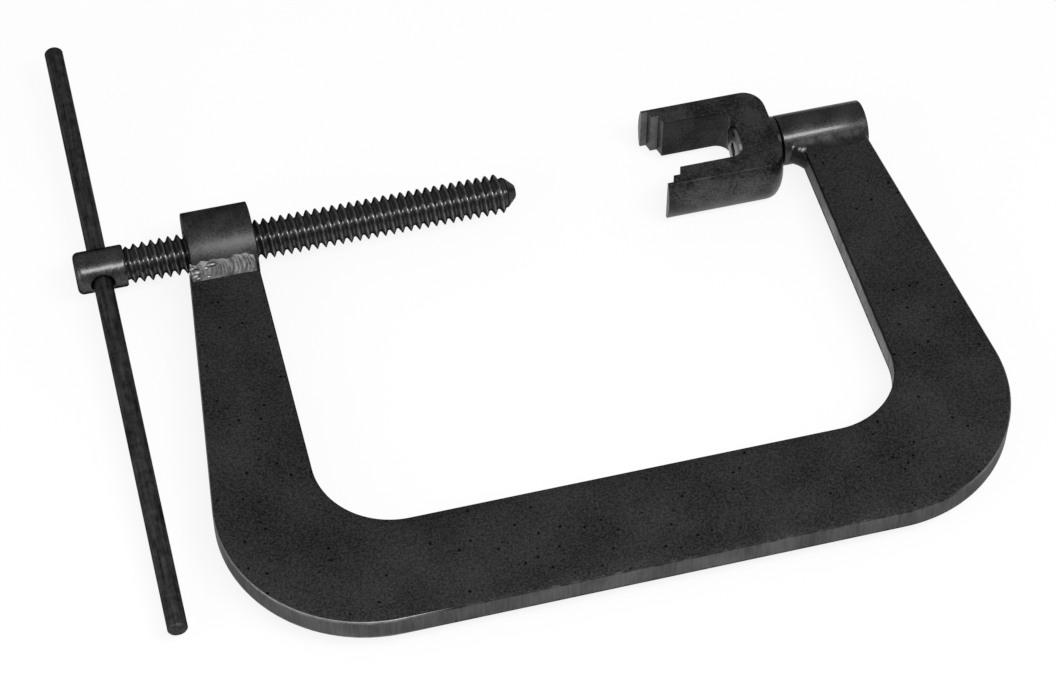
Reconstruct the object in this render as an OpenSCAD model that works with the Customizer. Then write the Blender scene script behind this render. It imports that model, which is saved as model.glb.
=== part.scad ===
// Valve spring compressor: a flat steel C-frame that carries a forcing screw on one arm and a
// swivelling stepped fork on the other. X runs along the screw axis towards the fork, Z is square
// to the plate, and the origin lies on that axis at the shoulder where the fork takes the collar.

/* [Frame] */
// Thickness of the frame plate
plate_t = 10.4; // [8:0.1:14]
// Clear width between the two arms
throat_w = 235.6; // [210:0.1:300]
// Depth from the screw axis to the inner edge of the spine
throat_d = 155.9; // [120:0.1:200]
// Height of the spine between its inner and outer edges
spine_h = 44.6; // [35:0.1:60]
// Width of each arm where its outer edge would meet the foot of the spine
arm_root_w = 48.3; // [44:0.1:60]
// Lean of the outer edge of each arm, in degrees
arm_taper = 6.1; // [3:0.1:7]
// Radius of the two outer corners
outer_r = 60; // [30:1:70]
// Radius of the two inner corners
inner_r = 31.5; // [10:0.5:40]

/* [Boss] */
// Outer diameter of the threaded boss
boss_d = 33.3; // [30:0.1:40]
// Length of the boss along the screw
boss_len = 27.4; // [22:0.1:36]
// How far the boss stands past the inner edge of its arm
boss_proud = 0.6; // [0:0.1:4]
// Width of the edge break on the rims of the boss
boss_edge = 0.4; // [0.2:0.1:1]

/* [Forcing screw] */
// Outside diameter of the screw thread
screw_d = 16.9; // [14:0.1:18]
// Rise of the thread in one turn
screw_pitch = 3.629; // [2.5:0.001:4]
// Overall length of the screw with its nose
screw_len = 185.9; // [170:0.1:220]
// Diameter of the plain head that holds the bar
head_d = 17.6; // [16:0.1:22]
// Length of that head
head_len = 20.7; // [15:0.1:26]
// Radius turned on the outer end of the head
head_round = 2.4; // [1:0.1:4]
// Length of the turned relief between the head and the thread
relief_len = 1.2; // [1:0.1:5]
// Gap between the head and the boss, as far as the screw is backed out
backed_out = 25.9; // [18:0.1:60]
// Length of the tapered nose
nose_len = 4; // [2.6:0.1:8]
// Diameter of the nose at its rounded end
nose_tip_d = 7.2; // [5:0.1:9]
// Radius turned on the end of the nose
nose_round = 2; // [1:0.1:2.4]
// Diameter of the stub that carries the nose in the end of the screw
nose_stub_d = 6; // [4:0.1:8]
// Length of that stub
nose_stub_len = 11; // [8:0.5:16]

/* [Bar] */
// Diameter of the sliding bar
bar_d = 7.9; // [6:0.1:9]
// Length of the bar
bar_len = 301; // [220:1:320]
// How far the middle of the bar has slid from the screw axis towards the spine
bar_slid = 27; // [0:0.1:60]
// Lean of the bar out of the plane of the plate, in degrees
bar_lean = 2; // [0:0.5:10]
// Clearance all round the bar in its cross hole
bar_slack = 0.45; // [0.2:0.05:0.6]

/* [Fork] */
// Diameter of the round bar that the fork is turned from
fork_d = 48; // [44:0.1:54]
// Thickness of the fork between its two milled flats
fork_t = 20.8; // [16:0.1:26]
// Width of the slot between the legs
slot_w = 25.6; // [22:0.1:28]
// Depth of the slot from the shoulder
slot_d = 29.1; // [24:0.1:36]
// Radius in the corners of the slot
slot_r = 6.4; // [4:0.1:8]
// Thickness of the fork behind the slot
fork_base = 15.4; // [11:0.1:20]
// Radius turned on the back corner of the fork
fork_round = 8.5; // [3:0.1:9]
// Length of the inner step at the tip of each leg
step_in_len = 4; // [3:0.1:6]
// Length of the outer step at the tip of each leg
step_out_len = 3.6; // [2:0.1:6]
// Height of the inner step
step_in_h = 4.1; // [2:0.1:4.4]
// Height of the outer step
step_out_h = 3.5; // [2:0.1:3.7]
// Lean of the shoulders of the steps, in degrees
step_lean = 15; // [0:1:20]

/* [Pivot] */
// Diameter of the round bar welded on the far arm
pivot_d = 21.7; // [20:0.1:26]
// Length of that bar
pivot_len = 37.8; // [30:0.1:48]
// How far the pivot bar stands past the inner edge of its arm
pivot_proud = 8.2; // [7:0.1:14]
// Length of the hub turned on the back of the fork
hub_len = 2.1; // [1.5:0.1:6]
// Diameter of the shoulder of the pivot screw
shoulder_d = 12.7; // [10:0.1:14]
// Diameter of the head of the pivot screw
pivot_head_d = 19; // [16:0.1:20]
// Height of that head
pivot_head_h = 4.2; // [3:0.1:6]
// Depth of the spot face in the fork that takes that head
head_sunk = 2.8; // [1:0.1:4]
// Radius turned on the rim of that head
pivot_head_round = 2.4; // [1:0.1:2.8]
// Diameter of the threaded end of the pivot screw
pivot_stud_d = 9.5; // [6:0.1:10]
// Length of that threaded end
pivot_stud_len = 16; // [10:0.5:24]
// Width across the flats of the hexagon socket in the head
socket_af = 6; // [4:0.5:8]
// Depth of that socket
socket_depth = 2.6; // [1.5:0.1:2.8]

/* [Welds] */
// Leg of the fillet welds under the boss
boss_weld = 4.6; // [3:0.1:6]
// Leg of the fillet welds under the pivot bar
pivot_weld = 4.4; // [3:0.1:5]
// Leg of the weld carried round onto the inner edge of the far arm
inner_weld = 5.4; // [3:0.1:6]
// How far each weld stops short of the ends of its joint
weld_short = 1; // [0:0.1:3]

/* [Clearances] */
// Radial running clearance of turning pieces
run_fit = 0.06; // [0.02:0.01:0.1]
// End play between turning faces
end_play = 0.3; // [0.2:0.05:0.5]
// Gap between welded pieces at their joint
root_gap = 0.05; // [0.02:0.01:0.1]
// Width of the chamfer on turned ends
chamfer = 0.8; // [0.4:0.1:1.2]

/* [Hidden] */
$fn = 96;
steel = "#2b2b2b";
bright_steel = "#5a5a5a";
weld_steel = "#8a8a8a";
eps = 0.01;

// Places along the screw axis, worked out from the fork shoulder at zero
slot_end = slot_d;
fork_end = slot_end + fork_base;
hub_end = fork_end + hub_len;
pivot_start = hub_end + end_play;
pivot_end = pivot_start + pivot_len;
far_arm_x = pivot_start + pivot_proud;
near_arm_x = far_arm_x - throat_w;
mid_x = (far_arm_x + near_arm_x) / 2;
boss_end = near_arm_x + boss_proud;
boss_start = boss_end - boss_len;
head_end = boss_start - backed_out;
head_start = head_end - head_len;
nose_end = head_start + screw_len;
nose_start = nose_end - nose_len;
screw_end = nose_start - end_play;
bar_x = head_start + head_len / 2;
fork_tip = -(step_in_len + step_out_len);

// Outline of the frame
spine_y = -throat_d;
foot_y = spine_y - spine_h;
half_throat = throat_w / 2;
half_foot = half_throat + arm_root_w;
corner_angle = 90 - arm_taper;
corner_reach = outer_r / tan(corner_angle / 2);
arm_rise = -foot_y;
thread_depth = 0.6134 * screw_pitch; // depth of a 60 degree thread
screw_root_d = screw_d - 2 * thread_depth;
pivot_bore_d = shoulder_d + 2 * run_fit;

// Half width of the frame at a height above its foot
function half_width(h) = half_foot - h * tan(arm_taper);

// Profile of a round bar from x0 to x1 with a chamfer at each end
function rod(r, x0, x1, c) = [[0, x0], [r - c, x0], [r, x0 + c], [r, x1 - c], [r - c, x1], [0, x1]];

// Quarter round from an end face at x to the side of a bar of radius r
function round_end(r, x, rr, dir) =
    [for (a = [0 : 15 : 90]) [r - rr + rr * sin(a), x + dir * rr * (1 - cos(a))]];

// The same points in the other order
function backwards(row) = [for (i = [len(row) - 1 : -1 : 0]) row[i]];

// A profile of radius and place turned about the screw axis
module turned(profile) {
    rotate([0, 90, 0]) rotate_extrude() polygon(profile);
}

// A plain round bar or hole along the screw axis
module round_x(d, x0, x1) {
    translate([x0, 0, 0]) rotate([0, 90, 0]) cylinder(d = d, h = x1 - x0);
}

// Anything drawn in the plane of the bar, put in the head of the screw
module at_bar() {
    translate([bar_x, 0, 0]) rotate([bar_lean - 90, 0, 0]) children();
}

// Waste between a sharp corner and the circle about c that touches its two edges at t0 and t1
module corner_waste(corner, t0, t1, c, r) {
    difference() {
        polygon([t0, 2 * corner - c, t1, c]);
        translate(c) circle(r);
    }
}

// Outer outline of the frame, with round corners at the foot
module frame_outside() {
    foot_x = half_foot - corner_reach;
    edge_y = corner_reach * cos(arm_taper);
    difference() {
        polygon([[-half_foot, 0], [half_foot, 0], [half_width(arm_rise), arm_rise],
                 [-half_width(arm_rise), arm_rise]]);
        for (s = [-1, 1]) corner_waste([s * half_foot, 0], [s * foot_x, 0],
            [s * half_width(edge_y), edge_y], [s * foot_x, outer_r], outer_r);
    }
}

// The throat between the arms, with round corners at the spine
module throat() {
    x = half_throat - inner_r;
    y = spine_h + inner_r;
    difference() {
        polygon([[-half_throat, spine_h], [half_throat, spine_h], [half_throat, arm_rise + eps],
                 [-half_throat, arm_rise + eps]]);
        for (s = [-1, 1]) corner_waste([s * half_throat, spine_h], [s * x, spine_h],
            [s * half_throat, y], [s * x, y], inner_r);
    }
}

// Flat C-shaped plate with a saddle in the top of each arm
module c_frame() {
    color(steel) difference() {
        translate([mid_x, foot_y, 0]) linear_extrude(plate_t, center = true) difference() {
            frame_outside();
            throat();
        }
        round_x(boss_d + 2 * root_gap, boss_start - arm_root_w, boss_end + eps);
        round_x(pivot_d + 2 * root_gap, pivot_start, pivot_end + arm_root_w);
    }
}

// Threaded boss, bored to the outside of the thread
module screw_boss() {
    color(steel) difference() {
        turned(rod(boss_d / 2, boss_start, boss_end, boss_edge));
        round_x(screw_d + 2 * run_fit, boss_start - 1, boss_end + 1);
    }
}

// Rounded fillet weld between the front face of an arm and a bar of diameter d, from x0 to x1
module fillet_weld(d, leg, x0, x1) {
    touch_y = -sqrt(pow(d / 2, 2) - pow(plate_t / 2, 2));
    difference() {
        intersection() {
            translate([0, touch_y, plate_t / 2]) round_x(2 * leg, x0, x1);
            translate([x0 - 1, touch_y - 2 * leg, plate_t / 2]) cube([x1 - x0 + 2, 4 * leg, 2 * leg]);
        }
        round_x(d + 2 * root_gap, x0 - 1, x1 + 1);
    }
}

// Ends of the joint between the boss and its arm
boss_joint_start = max(boss_start, mid_x - half_width(arm_rise - boss_d / 2)) + weld_short;
boss_joint_end = near_arm_x - weld_short;

module boss_weld_front() {
    color(weld_steel) fillet_weld(boss_d, boss_weld, boss_joint_start, boss_joint_end);
}

module boss_weld_rear() {
    mirror([0, 0, 1]) boss_weld_front();
}

// Screw with a plain head, a turned relief and a blind hole for the nose
module forcing_screw() {
    r = screw_d / 2;
    head_r = head_d / 2;
    root_r = screw_root_d / 2;
    thread_start = head_end + relief_len;
    color(steel) difference() {
        turned(concat([[0, head_start]], round_end(head_r, head_start, head_round, 1),
            [[head_r, head_end - chamfer], [head_r - chamfer, head_end], [root_r, head_end],
             [root_r, thread_start], [r, thread_start + thread_depth],
             [r, screw_end - thread_depth], [root_r, screw_end], [0, screw_end]]));
        at_bar() cylinder(d = bar_d + 2 * bar_slack, h = head_d + 2, center = true);
        round_x(nose_stub_d + 2 * run_fit, screw_end - nose_stub_len - end_play, screw_end + 1);
    }
}

// Tapered nose with a rounded end, on a stub that turns in the screw
module screw_nose() {
    stub_r = nose_stub_d / 2;
    stub_start = nose_start - nose_stub_len;
    color(bright_steel) turned(concat(
        [[0, stub_start], [stub_r - chamfer / 2, stub_start], [stub_r, stub_start + chamfer / 2],
         [stub_r, nose_start], [screw_root_d / 2, nose_start]],
        backwards(round_end(nose_tip_d / 2, nose_end, nose_round, -1)), [[0, nose_end]]));
}

// Sliding bar through the head of the screw
module t_bar() {
    color(steel) at_bar() translate([0, 0, -bar_slid - bar_len / 2]) rotate_extrude()
        polygon(rod(bar_d / 2, 0, bar_len, chamfer));
}

// Round bar on the far arm that carries the fork
module pivot_bar() {
    color(steel) difference() {
        turned(rod(pivot_d / 2, pivot_start, pivot_end, chamfer));
        round_x(pivot_stud_d + 2 * run_fit, pivot_start - 1, pivot_start + pivot_stud_len + 2);
    }
}

// Ends of the joint between the pivot bar and its arm
pivot_joint_start = far_arm_x + weld_short;
pivot_joint_end = min(pivot_end, mid_x + half_width(arm_rise - pivot_d / 2)) - weld_short;

module pivot_weld_front() {
    color(weld_steel) fillet_weld(pivot_d, pivot_weld, pivot_joint_start, pivot_joint_end);
}

module pivot_weld_rear() {
    mirror([0, 0, 1]) pivot_weld_front();
}

// Weld carried round onto the inner edge of the far arm
module pivot_weld_inner() {
    width = plate_t - 2 * weld_short;
    color(weld_steel) difference() {
        intersection() {
            translate([far_arm_x, -pivot_d / 2, 0]) cylinder(r = inner_weld, h = width, center = true);
            translate([far_arm_x - 2 * inner_weld, -pivot_d, -width]) cube([2 * inner_weld, pivot_d, 2 * width]);
        }
        round_x(pivot_d + 2 * root_gap, pivot_start, far_arm_x + 1);
    }
}

// Slot of the fork with its two steps, drawn from the axis outwards on one side
module slot_half() {
    half = slot_w / 2;
    in_y = half + step_in_h;
    out_y = in_y + step_out_h;
    polygon([[fork_tip - 1, -eps], [slot_end - slot_r, -eps], [slot_end - slot_r, half], [0, half],
             [-step_in_h * tan(step_lean), in_y], [-step_in_len, in_y],
             [-step_in_len - step_out_h * tan(step_lean), out_y], [fork_tip - 1, out_y]]);
    square([slot_end, half - slot_r]);
    translate([slot_end - slot_r, half - slot_r]) circle(slot_r);
}

// Turned blank with a hub, milled flat on both faces and slotted, so that it straddles a collar,
// with a spot face in the slot for the head of the pivot screw
module fork() {
    r = fork_d / 2;
    edge = fork_end - fork_round;
    color(steel) difference() {
        intersection() {
            union() {
                turned([[0, fork_tip], [r, fork_tip], [r, edge], [r - fork_round, edge],
                        [r - fork_round, fork_end], [0, fork_end]]);
                rotate([0, 90, 0]) translate([0, 0, edge]) rotate_extrude()
                    translate([r - fork_round, 0]) intersection() {
                        circle(fork_round);
                        square(fork_round);
                    }
            }
            cube([4 * fork_d, 2 * fork_d, fork_t], center = true);
        }
        linear_extrude(fork_t + 2, center = true) {
            slot_half();
            mirror([0, 1]) slot_half();
        }
        round_x(pivot_bore_d, slot_end - 1, fork_end + hub_len + 1);
        round_x(pivot_head_d + 2 * end_play, slot_end - slot_r, slot_end + head_sunk);
    }
    color(steel) difference() {
        turned(rod(pivot_d / 2, fork_end - eps, hub_end, chamfer / 2));
        round_x(pivot_bore_d, slot_end - 1, hub_end + 1);
    }
}

// Shoulder screw that holds the fork on the pivot bar and lets it turn
module pivot_screw() {
    head_back = slot_end + head_sunk - end_play;
    head_front = head_back - pivot_head_h;
    stud_end = pivot_start + pivot_stud_len;
    color(bright_steel) difference() {
        turned(concat([[0, head_front]], round_end(pivot_head_d / 2, head_front, pivot_head_round, 1),
            [[pivot_head_d / 2, head_back], [shoulder_d / 2, head_back],
             [shoulder_d / 2, pivot_start], [pivot_stud_d / 2, pivot_start],
             [pivot_stud_d / 2, stud_end - chamfer], [pivot_stud_d / 2 - chamfer, stud_end],
             [0, stud_end]]));
        translate([head_front - 1, 0, 0]) rotate([0, 90, 0])
            cylinder(d = socket_af / cos(30), h = socket_depth + 1, $fn = 6);
    }
}

c_frame();
screw_boss();
boss_weld_front();
boss_weld_rear();
forcing_screw();
screw_nose();
t_bar();
pivot_bar();
pivot_weld_front();
pivot_weld_rear();
pivot_weld_inner();
fork();
pivot_screw();
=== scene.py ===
"""Looks of a valve spring compressor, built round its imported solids."""

import math
from functools import partial

import bmesh
import bpy
import numpy as np
from mathutils import Matrix, Vector


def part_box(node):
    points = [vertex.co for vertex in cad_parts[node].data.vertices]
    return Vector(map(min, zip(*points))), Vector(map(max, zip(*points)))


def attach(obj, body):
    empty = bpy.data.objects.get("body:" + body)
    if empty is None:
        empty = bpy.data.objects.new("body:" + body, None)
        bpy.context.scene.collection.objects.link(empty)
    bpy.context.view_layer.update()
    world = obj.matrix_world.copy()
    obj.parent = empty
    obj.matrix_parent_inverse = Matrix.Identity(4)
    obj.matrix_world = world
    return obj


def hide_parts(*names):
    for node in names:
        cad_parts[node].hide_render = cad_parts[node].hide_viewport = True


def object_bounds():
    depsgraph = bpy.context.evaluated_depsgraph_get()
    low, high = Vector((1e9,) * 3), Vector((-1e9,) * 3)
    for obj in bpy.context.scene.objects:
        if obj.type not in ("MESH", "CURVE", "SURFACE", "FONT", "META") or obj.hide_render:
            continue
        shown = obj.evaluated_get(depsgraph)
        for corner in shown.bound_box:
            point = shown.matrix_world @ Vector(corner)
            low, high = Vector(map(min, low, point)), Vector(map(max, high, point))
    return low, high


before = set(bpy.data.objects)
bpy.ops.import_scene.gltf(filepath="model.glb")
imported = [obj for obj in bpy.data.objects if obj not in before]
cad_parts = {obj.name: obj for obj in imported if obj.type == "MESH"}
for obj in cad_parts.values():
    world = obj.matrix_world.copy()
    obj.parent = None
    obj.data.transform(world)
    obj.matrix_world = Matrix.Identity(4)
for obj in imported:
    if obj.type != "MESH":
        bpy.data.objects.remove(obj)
CAD_LOW, CAD_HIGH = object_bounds()

bl_info = {
    "name": "Valve spring compressor",
    "version": (1, 0, 0),
    "blender": (4, 5, 0),
    "location": "View3D > Sidebar > Compressor",
    "description": "Builds the finished pieces of a C-frame valve spring compressor round its solids",
    "category": "Object",
}

MM = 0.001
TURN = 2 * math.pi
QUARTER = math.pi / 2
MERGE = 0.0002 * MM  # points nearer than this are made one
SHARP_ANGLE = math.radians(32)  # edges that bend by more stay sharp
RING = 96  # faces round a turned piece
ROUND_STEPS = 4  # faces across a small round
END_ARC = np.linspace(0, QUARTER, 7)  # angles of a rounded end
SMALL_ROUND = 0.3 * MM  # radius on the corners of turned ends
BEAD_ACROSS, BEAD_UNDER = 24, 3  # faces across the top of a bead and on each hidden side
FACE_STATIONS, INNER_STATIONS = 201, 81  # points along a bead
CLEAR = 0.02 * MM  # gap between a bead and what it lies on
FLOOR_GAP = 0.1 * MM  # gap between the object and the floor
ONE_NOISE = (0.3, 0.7)  # range of most of a noise pattern
TWO_NOISES = (0.75, 1.25)  # range of most of the sum of two
FINE, COARSE = 0.05 * MM, 0.1 * MM  # depths of bumps
FILM_GLOSS = 0.12  # roughness of an oil film
MIX_A, MIX_B, MIX_OUT = 6, 7, 2  # numbers of the colour sockets of a Mix node

# Finish 1 paints a drop pale: bare spatter plus a painted highlight; finish 2 is blackened
# Drops of weld metal: share along the run, share across the bead, size in mm, stretch, finish number
BOSS_DROPS = (
    (0.1, 0.5, 1.9, 1.5, 1), (0.08, 0.78, 1.5, 1.2, 1), (0.11, 0.93, 1.0, 1.3, 1),
    (0.11, 0.24, 0.9, 2.0, 2), (0.045, 0.16, 1.0, 1.2, 1), (0.34, 0.16, 1.2, 2.0, 1),
    (0.24, 0.34, 1.0, 1.8, 1), (0.26, 0.92, 0.8, 1.8, 1))
PIVOT_DROPS = ((0.02, 0.6, 1.2, 1.0, 1), (0.095, 0.74, 1.4, 1.1, 1), (0.135, 0.84, 1.5, 1.3, 1))

# Lamps: name, width and height, place, all in metres
LAMPS = (("key", (1.0, 0.3), (0.08, -0.78, 1.18)), ("fill", (0.9, 0.7), (-1.3, -0.7, 0.7)))
LAMP_TARGET = (-0.06, -0.08, 0.0)


def span(node, axis):
    """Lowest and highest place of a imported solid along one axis, in metres."""
    low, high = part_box(node)
    return low[axis], high[axis]


def linear(code):
    """Linear colour with alpha from an sRGB hex code."""
    part = np.array([int(code[i:i + 2], 16) for i in (1, 3, 5)]) / 255
    part = np.where(part <= 0.04045, part / 12.92, ((part + 0.055) / 1.055) ** 2.4)
    return (*part.tolist(), 1.0)


def length(name, description, millimetres):
    """A size that a user can change, given in millimetres and kept in metres."""
    return bpy.props.FloatProperty(
        name=name, description=description, default=millimetres * MM, unit="LENGTH", precision=5)


def angle(name, description, degrees):
    """An angle that a user can change, given in degrees and kept in radians."""
    return bpy.props.FloatProperty(
        name=name, description=description, default=math.radians(degrees), subtype="ANGLE")


def paint(name, description, code):
    """A colour that a user can change, given as sRGB hex and kept linear."""
    return bpy.props.FloatVectorProperty(
        name=name, description=description, default=linear(code), subtype="COLOR", size=4, min=0, max=1)


def level(name, description, value):
    """A plain number that a user can change."""
    return bpy.props.FloatProperty(name=name, description=description, default=value, min=0)


def power(name, description, watts):
    """Power of a lamp that a user can change."""
    return bpy.props.FloatProperty(name=name, description=description, default=watts, subtype="POWER")


class PlateSizes(bpy.types.PropertyGroup):
    arm_root: length("Arm root", "Width of an arm where its outer edge would meet the foot", 48.3)
    throat: length("Throat", "Clear width between the arms", 235.6)
    spine: length("Spine", "Height of the spine", 44.6)
    taper: angle("Taper", "Lean of the outer edge of each arm", 6.1)
    outer_round: length("Outer corner", "Radius of the two outer corners", 60)
    inner_round: length("Inner corner", "Radius of the two inner corners", 31.5)
    edge: length("Edge round", "Radius worn on the long edges", 0.45)
    seat_gap: length("Seat gap", "Gap between the plate and the round bars on it", 0.05)
    tuck: length("Tuck", "How far the outer edge lies inside that of the solid", 0.05)


class ScrewSizes(bpy.types.PropertyGroup):
    pitch: length("Pitch", "Rise of the thread in one turn", 3.629)
    thread: length("Thread", "Outside diameter of the thread", 16.88)
    depth: length("Depth", "Height of the thread", 2.2)
    crest: level("Crest", "Width of the thread's crest as a share of the pitch", 0.09)
    crest_round: length("Crest round", "Radius on the edges of the crest", 0.18)
    root_round: length("Root round", "Radius in the corners of the root", 0.4)
    run_in: level("Run-in", "Height of the thread beside the head as a share of its full height", 0.78)
    run_in_turns: level("Run-in turns", "Turns in which the thread reaches its full height", 4)
    crest_place: length("Crest place", "A place along the screw where a crest faces straight up", -119.1)
    head: length("Head", "Length of the plain head", 20.7)
    head_round: length("Head round", "Radius on the outer end of the head", 2.4)
    hole: length("Hole", "Diameter of the cross hole for the bar", 8.8)
    hole_edge: length("Hole edge", "Radius on the rim of the cross hole", 1.2)
    nose_seat: length("Nose seat", "Diameter of the blind hole for the nose", 6.12)
    nose_seat_depth: length("Nose seat depth", "Depth of that hole", 11.3)
    nose_root: length("Nose root", "Diameter of the nose where it leaves the thread", 12.4)
    nose_tip: length("Nose tip", "Diameter of the nose at its rounded end", 7.2)
    nose_round: length("Nose round", "Radius on the end of the nose", 2)
    nose_length: length("Nose length", "Length of the tapered nose", 4)
    nose_stub: length("Nose stub", "Diameter of the stub that holds the nose", 6)


class BarSizes(bpy.types.PropertyGroup):
    thickness: length("Thickness", "Diameter of the sliding bar", 7.9)
    length: length("Length", "Length of the bar", 300.98)
    slid: length("Slid", "How far its middle has slid towards the spine", 27)
    lean: angle("Lean", "Lean of the bar out of the plane of the plate", 2)
    end: length("End chamfer", "Length of the chamfer on its ends", 0.8)


class RoundSizes(bpy.types.PropertyGroup):
    boss_edge: length("Boss edge", "Radius on the rims of the boss", 0.35)
    boss_bore: length("Boss bore", "Diameter of the bore of the boss", 17.02)
    boss_sink: length("Boss countersink", "Width of the countersink of its bore", 1.1)
    pivot_edge: length("Pivot edge", "Radius on the rims of the pivot bar", 0.8)
    stud_hole: length("Stud hole", "Diameter of the hole in the pivot bar", 9.62)
    stud_depth: length("Stud depth", "Depth of that hole", 18)


class ForkSizes(bpy.types.PropertyGroup):
    blank: length("Blank", "Diameter of the bar it is turned from", 48)
    thickness: length("Thickness", "Distance between its two flats", 20.8)
    slot: length("Slot", "Width of the slot", 25.6)
    slot_depth: length("Slot depth", "Depth of the slot from the shoulder", 29.1)
    slot_round: length("Slot round", "Radius in the corners of the slot", 6.4)
    base: length("Base", "Thickness behind the slot", 15.4)
    back_round: length("Back round", "Radius on its back corner", 8.5)
    step_in: length("Inner step", "Length of the inner step", 4)
    step_out: length("Outer step", "Length of the outer step", 3.6)
    rise_in: length("Inner rise", "Height of the inner step", 4.1)
    rise_out: length("Outer rise", "Height of the outer step", 3.5)
    lean: angle("Shoulder lean", "Lean of the shoulders of the steps", 15)
    edge: length("Edge round", "Radius worn on its edges", 0.12)
    hub: length("Hub", "Length of the hub on its back", 2.1)
    hub_width: length("Hub width", "Diameter of that hub", 21.7)
    bore: length("Bore", "Diameter of the bore for the pivot screw", 12.82)
    spot: length("Spot face", "Diameter of the spot face for the head of the screw", 19.6)
    spot_depth: length("Spot depth", "Depth of that spot face behind the slot", 2.8)


class PivotScrewSizes(bpy.types.PropertyGroup):
    head: length("Head", "Diameter of the head", 19)
    head_height: length("Head height", "Height of the head", 4.2)
    head_round: length("Head round", "Radius on the rim of the head", 2.4)
    shoulder: length("Shoulder", "Diameter of the shoulder", 12.7)
    shoulder_length: length("Shoulder length", "Length of the shoulder", 15.3)
    stud: length("Stud", "Diameter of the threaded end", 9.5)
    socket: length("Socket", "Width across the flats of the hexagon socket", 6)
    socket_depth: length("Socket depth", "Depth of that socket", 2.6)


class WeldSizes(bpy.types.PropertyGroup):
    boss_toe: length("Boss toe", "Reach of the boss welds over the plate", 4.6)
    boss_climb: angle("Boss climb", "How far the boss welds climb round the boss", 15)
    pivot_toe: length("Pivot toe", "Reach of the pivot welds over the plate", 4.4)
    pivot_climb: angle("Pivot climb", "How far the pivot welds climb round the bar", 14)
    inner_reach: length("Inner reach", "Reach of the weld on the inner edge of the arm", 5.4)
    boss_swell: length("Boss swell", "How far the boss welds swell; less than 0 is hollow", -0.3)
    pivot_swell: length("Pivot swell", "How far the pivot welds swell; less than 0 is hollow", -0.5)
    ripple: length("Ripple", "Distance between two ripples of a bead", 1.8)
    boss_ripple: length("Boss ripple height", "Height of the ripples on the boss welds", 0.34)
    pivot_ripple: length("Pivot ripple height", "Height of the ripples on the pivot welds", 0.02)
    bow: length("Bow", "How far a ripple runs ahead in the middle of the bead", 1.7)
    boss_reach: length("Boss reach", "How far a boss weld reaches past the start of its joint", 2.4)
    pivot_reach: length("Pivot reach", "How far a pivot weld reaches past the start of its joint", 6)
    end_reach: length("End reach", "How far a bead reaches past the end of its joint", 0.4)
    boss_end: length("Boss end", "Length in which a boss weld shrinks at its ends", 0.9)
    pivot_end: length("Pivot end", "Length in which a pivot weld shrinks at its ends", 5)
    inner_short: length("Inner stop", "How far the inner bead stops short of the plate's faces", 0.6)


class Finishes(bpy.types.PropertyGroup):
    plate_dark: paint("Plate, dark", "Darker grains of the blackened plate", "#272727")
    plate_light: paint("Plate, light", "Lighter grains of the blackened plate", "#525252")
    edge_dark: paint("Cut edge, dark", "Furrows of the cut edge", "#4a4a4a")
    edge_light: paint("Cut edge, light", "Ridges of the cut edge", "#666666")
    # Paler rims on the two lower corners: partly rubbing, partly a painted highlight
    edge_rubbed_highlight: paint("Cut edge, rubbed", "Rubbed rims of the lower corners", "#8c8c8c")
    inner_dark: paint("Inner edge, dark", "Furrows of the ground inner edge", "#6a6a6a")
    inner_light: paint("Inner edge, light", "Ridges of the ground inner edge", "#949494")
    turned_dark: paint("Turned steel, dark", "Darker patches of the boss", "#373737")
    turned_light: paint("Turned steel, light", "Lighter patches of the boss", "#535353")
    pivot_dark: paint("Pivot bar, dark", "Darker patches of the pivot bar", "#2e2e2e")
    pivot_light: paint("Pivot bar, light", "Lighter patches of the pivot bar", "#4a4a4a")
    head_dark: paint("Head, dark", "Darker patches of the screw's head and nose", "#3c3c3c")
    head_light: paint("Head, light", "Lighter patches of the screw's head and nose", "#585858")
    thread_root: paint("Thread, root", "Root of the thread", "#585858")
    thread_crest: paint("Thread, crest", "Rubbed crest of the thread", "#7a7a7a")
    thread_matte: paint("Thread, matte", "Matte oxide on the flanks of the thread", "#303030")
    bar_dark: paint("Bar, dark", "Darker patches of the drawn bar", "#242424")
    bar_light: paint("Bar, light", "Lighter patches of the drawn bar", "#545454")
    fork_dark: paint("Fork, dark", "Darker grains of the milled fork", "#2c2c2c")
    fork_light: paint("Fork, light", "Lighter grains of the milled fork", "#525252")
    # Painted light: the treads of the steps are painted paler, as if lit
    step_lit_dark: paint("Steps, dark", "Darker grains of the rubbed steps", "#4a4a4a")
    step_lit_light: paint("Steps, light", "Lighter grains of the rubbed steps", "#6a6a6a")
    # Painted shade: the slot walls behind the treads and the hub are painted darker
    slot_shade_dark: paint("Slot, dark", "Darker grains of the oiled slot and hub", "#202020")
    slot_shade_light: paint("Slot, light", "Lighter grains of the oiled slot and hub", "#383838")
    weld_dark: paint("Weld, dark", "Oxide between the ripples of a bare bead", "#444444")
    weld_light: paint("Weld, light", "Bare tops of the ripples", "#707070")
    black_weld_dark: paint("Black weld, dark", "Hollows of a blackened bead", "#2c2c2c")
    black_weld_light: paint("Black weld, light", "Tops of a blackened bead", "#424242")
    # Bare spatter, painted pale partly as its own colour and partly as a painted highlight
    drop_glint_dark: paint("Weld drops, dark", "Stained side of bare drops of weld metal", "#707070")
    drop_glint_light: paint("Weld drops, light", "Bare drops of weld metal", "#aaaaaa")
    screw_dark: paint("Plain steel, dark", "Oiled plain steel", "#565656")
    screw_light: paint("Plain steel, light", "Rubbed plain steel", "#8c8c8c")


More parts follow.
